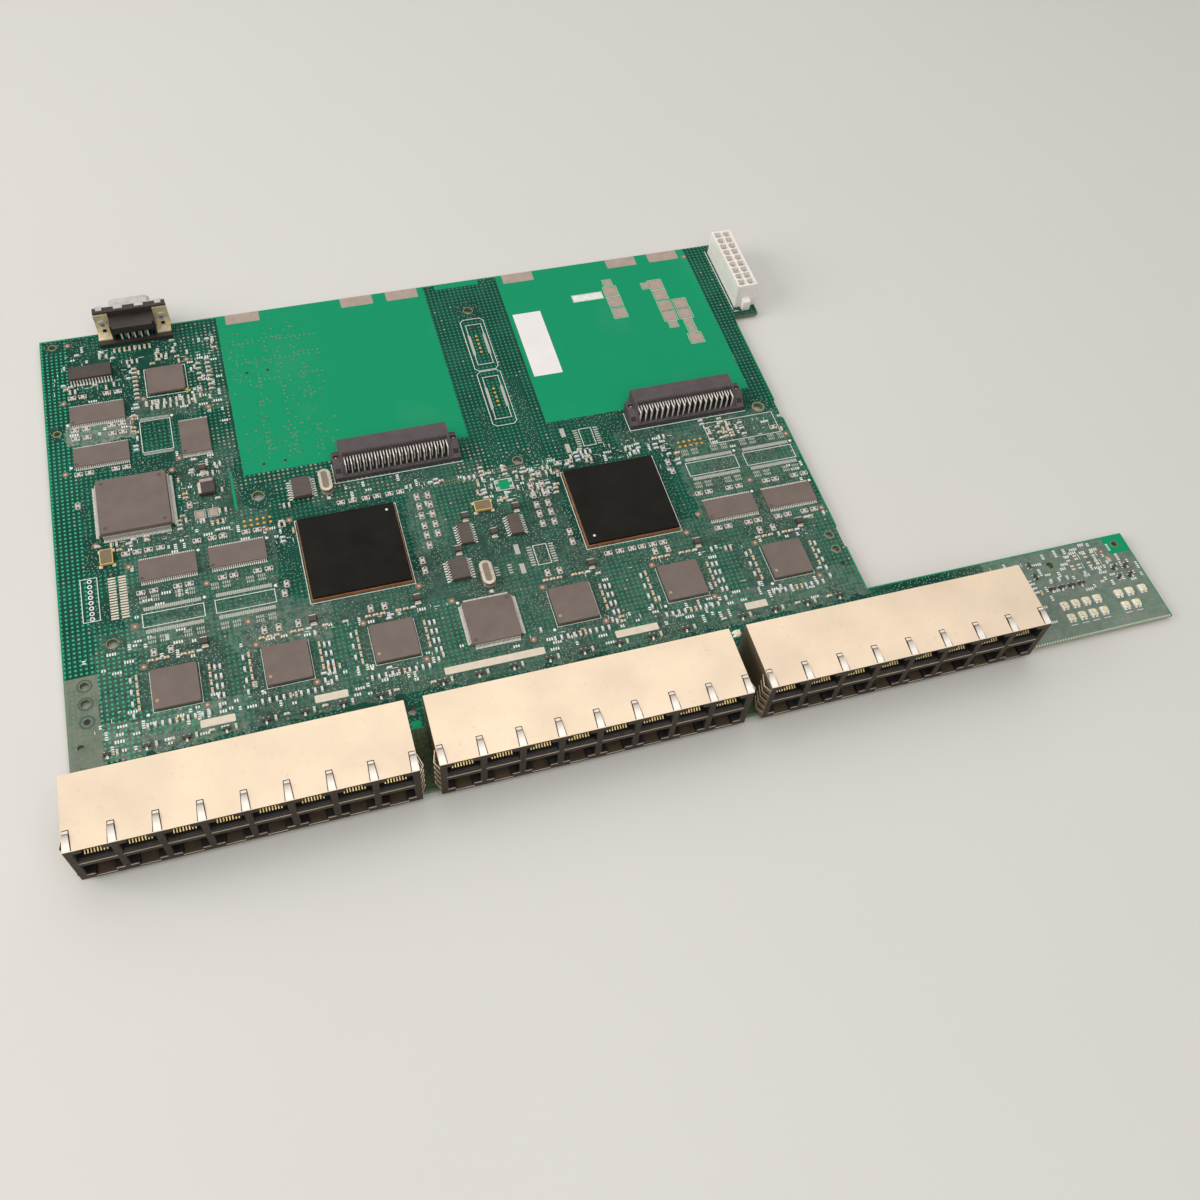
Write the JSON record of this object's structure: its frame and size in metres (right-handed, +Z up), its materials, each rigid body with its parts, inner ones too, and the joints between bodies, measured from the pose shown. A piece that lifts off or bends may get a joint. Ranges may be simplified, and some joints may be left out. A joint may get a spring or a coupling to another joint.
{
  "type": "network switch motherboard",
  "caption": "L-shaped green circuit board with stacked shielded network jacks along its front edge, switching chips, module sockets, a serial port and a power header.",
  "frame": {"origin": "middle of the part's footprint, at the feet of the locating pegs it lies on", "axes": "+X to the right along the jack row, +Y from the jack fronts to the rear edge, +Z up from the board"},
  "size_m": [0.4306, 0.264, 0.0271],
  "materials": {
    "laminate": "glossy green solder mask on glass laminate",
    "tinned_sheet": "satin tin plate",
    "jack_plastic": "dark moulded plastic",
    "console_sheet": "tin plated pressed sheet",
    "console_plastic": "dark moulded plastic",
    "yellow_brass": "plain stamped brass",
    "gold_plate": "gold plated contact",
    "tinned_wire": "tinned contact wire",
    "nylon": "natural white nylon",
    "socket_plastic": "dark moulded plastic",
    "chip_epoxy": "fine matt moulding compound",
    "chip_lid": "polished black lid",
    "chip_carrier": "bare laminate carrier edge",
    "nickel_can": "nickel plated can",
    "gilt_can": "gilt lid on a ceramic base",
    "tantalum_case": "dark moulded case",
    "light_body": "cream translucent lamp body",
    "label_paper": "blank white paper label"
  },
  "bodies": {
    "root": {"circuit_board": "laminate", "jack_shield_left": "tinned_sheet", "jack_housing_left": "jack_plastic", "jack_shield_middle": "tinned_sheet", "jack_housing_middle": "jack_plastic", "jack_shield_right": "tinned_sheet", "jack_housing_right": "jack_plastic", "console_shell": "console_sheet", "console_housing": "console_plastic", "console_pins": "tinned_wire", "console_bracket_left": "yellow_brass", "console_bracket_right": "yellow_brass", "console_locks": "yellow_brass", "console_rivets": "console_sheet", "power_header_housing": "nylon", "power_header_pins": "tinned_wire", "module_socket_left": "socket_plastic", "module_socket_tails_left": "gold_plate", "module_socket_right": "socket_plastic", "module_socket_tails_right": "gold_plate", "switch_chip_substrate_left": "chip_carrier", "switch_chip_lid_left": "chip_lid", "switch_chip_substrate_right": "chip_carrier", "switch_chip_lid_right": "chip_lid", "port_chip_1": "chip_epoxy", "port_chip_2": "chip_epoxy", "port_chip_3": "chip_epoxy", "port_chip_4": "chip_epoxy", "port_chip_5": "chip_epoxy", "port_chip_6": "chip_epoxy", "memory_chip_1": "chip_epoxy", "memory_chip_2": "chip_epoxy", "memory_chip_3": "chip_epoxy", "memory_chip_4": "chip_epoxy", "memory_chip_5": "chip_epoxy", "memory_chip_6": "chip_epoxy", "processor_chip": "chip_epoxy", "logic_chip": "chip_epoxy", "controller_chip": "chip_epoxy", "flash_chip": "chip_epoxy", "line_driver_chip": "chip_epoxy", "clock_chip_rear": "chip_epoxy", "clock_chip_front": "chip_epoxy", "buffer_chip_left": "chip_epoxy", "buffer_chip_right": "chip_epoxy", "crystal_can_rear": "nickel_can", "crystal_can_front": "nickel_can", "oscillator_left": "gilt_can", "oscillator_middle": "gilt_can", "voltage_regulator": "chip_epoxy", "label_sticker": "label_paper", "tantalum_capacitors": "tantalum_case", "status_leds": "light_body"}
  },
  "joints": []
}
